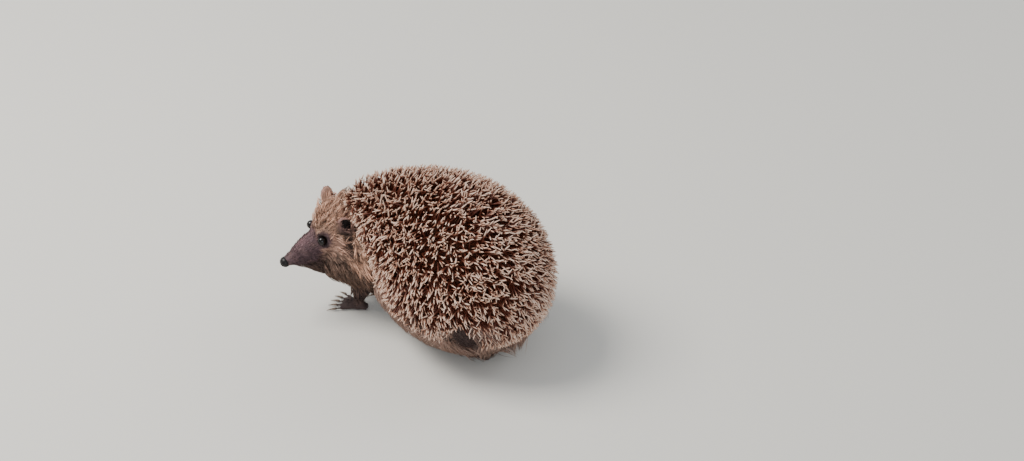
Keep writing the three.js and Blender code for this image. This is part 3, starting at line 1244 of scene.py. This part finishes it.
def growStrands(name, paths, radii, sides, patches, patchSide, chances, marks, material):
    # paths is strands by points by 3, radii the same without the 3
    count, steps, _ = paths.shape
    way = unit(np.gradient(paths, axis=1))
    aside = unit(np.cross(way, np.array((0.31, 0.17, 0.93))))
    over = np.cross(way, aside)
    angles = np.arange(sides) / sides * 2 * math.pi
    ring = (
        aside[:, :, None, :] * np.cos(angles)[None, None, :, None]
        + over[:, :, None, :] * np.sin(angles)[None, None, :, None]
    )
    body = paths[:, :-1, None, :] + ring[:, :-1] * radii[:, :-1, None, None]
    rings = steps - 1
    perStrand = rings * sides + 1
    verts = np.concatenate([body.reshape(count, rings * sides, 3), paths[:, -1:, :]], axis=1).reshape(-1, 3)
    # one strand's faces: quads between its rings, triangles at its tip and a cap at its root
    top = (rings - 1) * sides
    faces = []
    for start in range(0, top, sides):
        for k in range(sides):
            after = (k + 1) % sides
            faces.append((start + k, start + after, start + sides + after, start + sides + k))
    faces += [(top + k, top + (k + 1) % sides, rings * sides) for k in range(sides)]
    faces.append(tuple(reversed(range(sides))))
    loops = (np.arange(count)[:, None] * perStrand + np.concatenate(faces)).ravel()
    sizes = np.tile([len(face) for face in faces], count)
    mesh = bpy.data.meshes.new(name)
    mesh.vertices.add(len(verts))
    mesh.vertices.foreach_set("co", verts.ravel())
    mesh.loops.add(len(loops))
    mesh.loops.foreach_set("vertex_index", loops)
    mesh.polygons.add(len(sizes))
    mesh.polygons.foreach_set("loop_start", np.concatenate([[0], np.cumsum(sizes)[:-1]]))
    mesh.update(calc_edges=True)
    # length along the strand and a chance number for each, for the material
    alongs = np.concatenate([np.repeat(np.arange(rings) / rings, sides), [1.0]])
    alongs = np.tile(alongs, count)
    acrosses = np.tile(np.concatenate([np.tile(np.arange(sides) / sides, rings), [0.5]]), count)
    owner = np.repeat(np.arange(count), perStrand)
    chances = chances[owner]
    size = coatLook["bakePatch"]
    across = patchSide[owner] + acrosses * (1 / max(1, patchSide.max() + 1))
    bakeU = patches[owner, 0] + (np.clip(across, 0, 1) - 0.5) * size
    bakeV = patches[owner, 1] + (alongs - 0.5) * size
    for layerName, u, v in (("OFBake", bakeU, bakeV), ("strand", alongs, chances)):
        layer = mesh.uv_layers.new(name=layerName)
        layer.data.foreach_set("uv", np.stack([u[loops], v[loops]], axis=1).astype(np.float32).ravel())
    obj = addObject(name, mesh)
    if marks is not None:
        addAttribute(obj, "markings", marks[owner], "FLOAT_COLOR")
    mesh.materials.append(material)
    smooth(obj)
    print(name, count, "strands,", len(sizes), "faces")
    return obj


# spines

spineLook = {
    "perSquareMm": 0.24,
    "spacing": 0.00135,
    "length": (0.018, 0.024),
    "radius": 0.00070,
    "fan": 62,
    "fanLow": 46,
    "droop": 0.08,
    "sunk": 0.0008,
    "depth": (0.005, 0.018),
    "sides": 5,
    "pieces": 3,
    "standOut": 0.0010,
    "earGap": 0.0112,
    "haunchGap": 1.05,
    "mostMoved": 0.009,
    "along": (0, 0.12, 0.36, 0.60, 0.80, 0.93, 1.0),
    "widths": (0.5, 0.8, 1.0, 1.0, 0.85, 0.5, 0.0),
    "gloss": (0.45, 0.4),
}


def makeSpineMaterial():
    material, tree, shader = newMaterial("spineHorn")
    layer = addNode(tree, "ShaderNodeUVMap", uv_map="strand")
    parts = addNode(tree, "ShaderNodeSeparateXYZ")
    tree.links.new(layer.outputs["UV"], parts.inputs["Vector"])
    wobble = addNode(tree, "ShaderNodeMath", operation="MULTIPLY_ADD")
    wobble.inputs[1].default_value = 0.16
    wobble.inputs[2].default_value = -0.08
    tree.links.new(parts.outputs["Y"], wobble.inputs[0])
    shifted = addNode(tree, "ShaderNodeMath", operation="ADD")
    tree.links.new(parts.outputs["X"], shifted.inputs[0])
    tree.links.new(wobble.outputs[0], shifted.inputs[1])
    bands = rampNode(
        tree,
        shifted.outputs[0],
        [
            (0.08, tone("a07c66")),
            (0.24, tone("6e4a3a")),
            (0.34, tone("683827")),
            (0.56, tone("613223")),
            (0.64, tone("8a6250")),
            (0.70, tone("e6cdbd")),
            (0.95, tone("f1ddcf")),
            (1.0, tone("96705c")),
        ],
    )
    paler = [(0.0, tone("cda48c")), (0.45, tone("ead6c8")), (1.0, tone("fff8f2"))]
    each = rampNode(tree, parts.outputs["Y"], paler)
    paint(tree, shader, multiplyNode(tree, bands, each, 0.9), spineLook["gloss"])
    return material


def makeSpines():
    look = spineLook
    free = (1 - zones["ears"]) * (1 - zones["legs"])
    front = smoothStep(0.035, 0.0, behindHairline(skinCo)) * smoothStep(0.060, 0.085, skinCo[:, 2])
    roots = scatter(look["perSquareMm"] * (1 + 0.9 * front) * zones["spiny"] * free, look["spacing"])
    place, normal = roots["place"], roots["normal"]
    n = len(place)
    # they cross every way on the back, and hang together along the flanks
    low = smoothStep(0.035, 0.010, aboveEdge(place))
    fan = look["fan"] + (look["fanLow"] - look["fan"]) * low
    lie = turnAbout(lieOfCoat(roots), normal, np.radians(dice.normal(0, 1, n) * fan))
    length = dice.uniform(*look["length"], n)
    depth = np.clip(roomOver(place, normal), *look["depth"])
    nearHairline = 0.80 + 0.20 * smoothStep(0, 0.018, behindHairline(place))
    length = np.minimum(length, 0.009 + depth * 1.3) * nearHairline
    lean = np.arcsin(np.clip(depth * dice.uniform(0.72, 1.10, n) / length, 0.2, 0.95))
    steps, width = np.array(look["along"]), np.array(look["widths"])
    t = steps[None, :, None]
    straight = normal * np.sin(lean)[:, None] + lie * np.cos(lean)[:, None]
    bow = (normal - straight * (normal * straight).sum(axis=1)[:, None]) * look["droop"]
    long = length[:, None, None]
    paths = place[:, None] + long * (straight[:, None] * t + bow[:, None] * (t - t * t))
    paths = paths - normal[:, None] * look["sunk"]
    tips = paths[:, -1].copy()
    paths = holdIn(paths, steps, look["standOut"])
    moved = np.linalg.norm(paths[:, -1] - tips, axis=1)
    # straight again, from the root to where the tip has come
    paths = paths[:, :1] + (paths[:, -1:] - paths[:, :1]) * t + long * bow[:, None] * (t - t * t)
    overHaunch = haunchDistance(paths[:, -1]) < look["haunchGap"]
    kept = (earClearance(paths) > look["earGap"]) & ~overHaunch & (moved < look["mostMoved"])
    place, paths, n = place[kept], paths[kept], kept.sum()
    radii = width[None] * look["radius"] * dice.uniform(0.8, 1.12, n)[:, None]
    patches, chances = unwrapAt(place), dice.random(n)
    material = makeSpineMaterial()
    # parted by the angle round the body, so that each piece is a strip of the back
    order = np.argsort(np.arctan2(place[:, 1], place[:, 2] - 0.05))
    for i, chosen in enumerate(np.array_split(order, look["pieces"])):
        piece = growStrands(
            "spines_" + str(i + 1),
            paths[chosen],
            radii[chosen],
            look["sides"],
            patches[chosen],
            np.zeros(len(chosen)),
            chances[chosen],
            None,
            material,
        )
        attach(piece, "root")


makeSpines()

# hair: tufts of strands that draw together towards their tips

hairLooks = {
    "ruff": {
        "slot": "hair", "tufts": 0.20, "strands": 5, "length": (0.009, 0.016),
        "rise": 30, "radius": 0.00022, "fan": 15,
    },
    "flank": {
        "slot": "hair", "tufts": 0.15, "strands": 5, "length": (0.014, 0.023),
        "rise": 28, "radius": 0.00032, "fan": 20, "standOut": 0.003,
    },
    "skirt": {
        "slot": "hair", "tufts": 0.17, "strands": 3, "length": (0.018, 0.028),
        "rise": 26, "radius": 0.00048, "fan": 9, "standOut": 0.003,
    },
    "belly": {
        "slot": "hair", "tufts": 0.10, "strands": 4, "length": (0.007, 0.012),
        "rise": 24, "radius": 0.00022, "fan": 22,
    },
    "crown": {
        "slot": "hair", "tufts": 0.30, "strands": 5, "length": (0.015, 0.022),
        "rise": 62, "radius": 0.00024, "fan": 12, "standOut": 0.003, "bend": 0.18,
    },
    "brow": {
        "slot": "hair", "tufts": 0.17, "strands": 4, "length": (0.011, 0.018),
        "rise": 62, "radius": 0.00027, "fan": 10, "standOut": 0.002, "bend": 0.15,
    },
    # dark hair in the painted shade under the head, coloured with it
    "shadedThroat": {
        "slot": "dark_hair", "tufts": 0.22, "strands": 5, "length": (0.007, 0.012),
        "rise": 34, "radius": 0.00020, "fan": 14,
    },
    "face": {
        "slot": "hair", "tufts": 0.42, "strands": 4, "length": (0.0040, 0.0075),
        "rise": 24, "radius": 0.00017, "fan": 10,
    },
    "muzzle": {
        "slot": "dark_hair", "tufts": 1.05, "strands": 4, "length": (0.0024, 0.0044),
        "rise": 24, "radius": 0.00013, "fan": 10,
    },
    "limbs": {
        "slot": "dark_hair", "tufts": 0.40, "strands": 4, "length": (0.0030, 0.0055),
        "rise": 24, "radius": 0.00015, "fan": 14,
    },
}
hairBright = 1.27  # the hairs are paler than the skin under them
hairCommon = {
    "standOut": 0.0008,
    "bend": 0.45,
    "sunk": 0.0003,
    "earGap": 0.0084,
    "haunchGap": 0.92,
    "sides": 3,
    "along": (0, 0.3, 0.65, 1.0),
    "widths": (1.0, 0.95, 0.65, 0.0),
    "gloss": (0.6, 0.3),
}


def hairDensities():
    # how thickly each kind of hair grows at each point of the skin
    z, local = zones, toHead(skinCo)
    eyeAway, overEdge, pastHairline = eyeDistance(local), aboveEdge(skinCo), behindHairline(skinCo)
    noseAway = np.linalg.norm(skinCo - np.array(middleOf("nose")), axis=1)
    clear = smoothStep(0.0043, 0.0052, eyeAway) * smoothStep(0.0050, 0.0062, noseAway)
    above = smoothStep(0.004, 0.008, skinCo[:, 2])
    bare = 1 - smoothStep(0.5, 0.9, z["spiny"])
    snout = smoothStep(0.35, 0.75, darkMask(skinCo, z))
    shadedThroat = smoothStep(0.3, 0.7, throatShadeShare(skinCo, z))
    haunch = smoothStep(1.15, 0.95, haunchDistance(skinCo))
    ring = smoothStep(0.95, 1.15, haunchDistance(skinCo))
    ring = ring * smoothStep(1.35, 1.1, haunchDistance(skinCo, "parting"))
    fringe = smoothStep(-0.030, -0.016, overEdge) * smoothStep(0.010, 0.004, overEdge)
    crown = smoothStep(-0.0065, -0.0035, pastHairline) * smoothStep(0.006, 0.012, local[:, 2])
    forward = smoothStep(-0.021, -0.016, local[:, 0]) * smoothStep(0.007, 0.001, pastHairline)
    forward = z["head"] * forward * smoothStep(0.005, 0.010, local[:, 2])
    ears = 0.6 * z["ears"] * (1 - smoothStep(0.1, 0.4, z["hollow"]))
    limbs = z["legs"] + 0.5 * z["feet"] * smoothStep(0.35, 0.7, skinNormals[:, 2])
    return {
        "ruff": z["neck"] * clear * bare * (1 - shadedThroat),
        "flank": z["trunk"] * fringe * above * (1 - haunch),
        "skirt": ring * smoothStep(-0.012, -0.004, overEdge) * (z["trunk"] + z["legs"]),
        "belly": z["trunk"] * bare * above * (1 - haunch),
        "crown": z["head"] * bare * crown,
        "brow": forward * smoothStep(0.0075, 0.0095, eyeAway),
        "shadedThroat": shadedThroat * clear,
        "face": z["head"] * clear * bare * (1 - snout) * (1 - shadedThroat),
        "muzzle": (z["muzzle"] + z["head"]) * snout * clear + ears,
        "limbs": np.maximum(haunch * z["trunk"], limbs) * above,
    }


hairDensity = hairDensities()


def makeHairMaterial(name, rootShade, tipShade):
    material, tree, shader = newMaterial(name)
    marks = addNode(tree, "ShaderNodeAttribute", attribute_name="markings")
    layer = addNode(tree, "ShaderNodeUVMap", uv_map="strand")
    parts = addNode(tree, "ShaderNodeSeparateXYZ")
    tree.links.new(layer.outputs["UV"], parts.inputs["Vector"])
    paler = [(0.05, grey(rootShade)), (0.6, grey(tipShade)), (1.0, grey(tipShade * 1.15))]
    shade = rampNode(tree, parts.outputs["X"], paler)
    each = rampNode(tree, parts.outputs["Y"], [(0.0, grey(0.5)), (0.5, grey(0.95)), (1.0, grey(1.5))])
    colour = multiplyNode(tree, multiplyNode(tree, marks.outputs["Color"], shade), each)
    paint(tree, shader, colour, hairCommon["gloss"])
    return material


def makeHair(kind, material):
    look = {**hairCommon, **hairLooks[kind]}
    roots = scatter(look["tufts"] * hairDensity[kind], 0.0005 / math.sqrt(look["tufts"]))
    n, strands = len(roots["place"]), look["strands"]
    normal, z = roots["normal"], roots["zones"]
    lie = turnAbout(lieOfCoat(roots), normal, np.radians(dice.normal(0, look["fan"], n)))
    local = toHead(roots["place"])
    length = dice.uniform(*look["length"], n)
    length = length * (1 - 0.55 * z["ears"])
    if kind == "face":
        length = length * (0.5 + 0.5 * smoothStep(0.004, 0.013, eyeDistance(local)))
        length = length * (0.6 + 0.4 * smoothStep(-0.024, -0.008, local[:, 0]))
        onTop = 0.7 * smoothStep(0.006, 0.016, local[:, 2])
        length = length * (1 + onTop * smoothStep(-0.018, -0.006, local[:, 0]))
    marks = markings(roots["place"], z) * hairBright
    if kind in ("flank", "skirt"):
        marks = mix(marks, tones["skirt"], (0.6 if kind == "flank" else 1.0) * dice.random(n) ** 0.5)
    if kind == "skirt":
        # the long hairs part to each side of the leg
        apart = (roots["place"] - haunchMiddle(roots["place"])) * (1, 1, 0)
        lie = unit(0.5 * lie + 1.2 * unit(apart) - np.array((0, 0, 0.9)))
        lie = unit(lie - normal * (lie * normal).sum(axis=1)[:, None])
    rise = np.radians(dice.normal(look["rise"], 6, n)).clip(0.12, 1.2)
    steps, width = np.array(look["along"]), np.array(look["widths"])
    tuftChance = dice.random(n)
    repeat = lambda values: np.repeat(values, strands, axis=0)
    t = steps[None, :, None]
    total = n * strands
    # the tuft rises from its root and lies over towards its tip
    spine = length[:, None, None] * (
        (normal * np.sin(rise)[:, None])[:, None] * (t - look["bend"] * t * t)
        + (lie * np.cos(rise)[:, None])[:, None] * (t + 0.12 * t * t)
    )
    aside = np.cross(normal, lie)
    spread = look["radius"] * 4.5
    offset = dice.uniform(-1, 1, (total, 2)) * spread
    shift = repeat(aside) * offset[:, :1] + repeat(lie) * offset[:, 1:] * 1.5
    stray = repeat(aside) * dice.normal(0, 0.05, (total, 1))
    stray = stray + repeat(normal) * dice.normal(0, 0.03, (total, 1))
    reach = dice.uniform(0.78, 1.08, total)[:, None, None]
    paths = repeat(roots["place"])[:, None] + repeat(spine) * reach + shift[:, None] * (1 - 0.7 * t)
    paths = paths + stray[:, None] * repeat(length)[:, None, None] * t * t
    paths = paths - repeat(normal)[:, None] * look["sunk"]
    paths[:, :, 2] -= 0.15 * repeat(length)[:, None] * (steps[None] ** 2) * (repeat(length)[:, None] > 0.006)
    paths = holdIn(paths, steps, look["standOut"])
    radii = width[None] * look["radius"] * dice.uniform(0.8, 1.2, total)[:, None]
    chances = 0.6 * repeat(tuftChance) + 0.4 * dice.random(total)
    patches = repeat(unwrapAt(roots["place"]))
    side = np.tile(np.arange(strands) / strands, n)
    kept = (earClearance(paths) > look["earGap"]) | (repeat(z["ears"]) > 0.3)
    if kind != "limbs":
        overHaunch = np.min([haunchDistance(paths[:, k]) for k in range(len(steps))], axis=0)
        kept &= overHaunch > look["haunchGap"]
    piece = growStrands(
        "hair_" + kind,
        paths[kept],
        radii[kept],
        look["sides"],
        patches[kept],
        side[kept],
        chances[kept],
        repeat(marks)[kept],
        material,
    )
    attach(piece, "root")
    return piece


longHair = makeHairMaterial("coarseHair", 0.40, 1.32)
shortHair = makeHairMaterial("shortHair", 0.6, 1.15)
for kindName in hairLooks:
    makeHair(kindName, shortHair if kindName in ("face", "muzzle", "limbs") else longHair)

# whiskers: a few long dark hairs in rows along each upper lip

whiskerLook = {
    "rows": 3,
    "perRow": 4,
    "length": (0.006, 0.009),
    "radius": 0.00012,
    "sides": 4,
    "along": (0, 0.25, 0.5, 0.75, 1.0),
    "widths": (1.0, 0.9, 0.7, 0.4, 0.0),
}


def makeWhiskers(material):
    look, skinTree = whiskerLook, treeOf(skin.data)
    roots, ways = [], []
    for side in (-1, 1):
        for row in range(look["rows"]):
            for i in range(look["perRow"]):
                guess = np.array([[-0.0430 + 0.0042 * i, side * 0.012, -0.0050 + 0.0024 * row - 0.0006 * i]])
                roots.append(nearest(skinTree, fromHead(guess))[0][0])
                ways.append(headWay((0.9 + 0.08 * i, side, 0.18 * row - 0.25)))
    roots, ways = np.array(roots), unit(np.array(ways) + dice.normal(0, 0.08, (len(ways), 3)))
    count = len(roots)
    t = np.array(look["along"])
    length = dice.uniform(*look["length"], count)[:, None, None]
    sweep = np.array(headWay((0.5, 0, -0.35)))[None, None]
    straight = ways[:, None] * (t - 0.04)[None, :, None]
    paths = roots[:, None] + length * (straight + sweep * (t * t * 0.4)[None, :, None])
    radii = np.array(look["widths"])[None] * np.full((count, 1), look["radius"])
    marks = np.tile(np.array(tones["muzzle"]) * 0.35, (count, 1))
    piece = growStrands(
        "whiskers",
        paths,
        radii,
        look["sides"],
        unwrapAt(roots),
        np.zeros(count),
        dice.random(count),
        marks,
        material,
    )
    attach(piece, "root")


makeWhiskers(shortHair)

# floor and light

studioLook = {"floor": "d9d6cf", "floorSize": 8, "key": 42, "fill": 12, "rim": 5, "world": 0.62}


def makeStudio():
    deselectAll()
    bpy.ops.mesh.primitive_plane_add(size=studioLook["floorSize"])
    floor = bpy.context.object
    floor.name = "floor"
    material, tree, shader = newMaterial("paleFloor")
    shader.inputs["Base Color"].default_value = (*tone(studioLook["floor"]), 1)
    shader.inputs["Roughness"].default_value = 0.85
    floor.data.materials.append(material)
    lamps = (
        ("keyLight", (-0.9, -0.6, 1.5), 0.9, studioLook["key"], (1.0, 0.97, 0.92)),
        ("fillLight", (1.4, -1.4, 0.9), 1.2, studioLook["fill"], (0.93, 0.96, 1.0)),
        ("rimLight", (0.7, 1.5, 1.2), 0.8, studioLook["rim"], (1.0, 1.0, 1.0)),
    )
    for name, place, size, power, colour in lamps:
        bpy.ops.object.light_add(type="AREA", location=place)
        lamp = bpy.context.object
        lamp.name = name
        lamp.data.size = size
        lamp.data.energy = power
        lamp.data.color = colour
        lamp.rotation_euler = (Vector((0, 0, 0.05)) - Vector(place)).to_track_quat("-Z", "Y").to_euler()
    world = bpy.data.worlds.new("studio")
    bpy.context.scene.world = world
    world.use_nodes = True
    sky = world.node_tree.nodes["Background"].inputs
    sky["Color"].default_value = (0.9, 0.95, 1.0, 1)
    sky["Strength"].default_value = studioLook["world"]


makeStudio()
print("studio set")
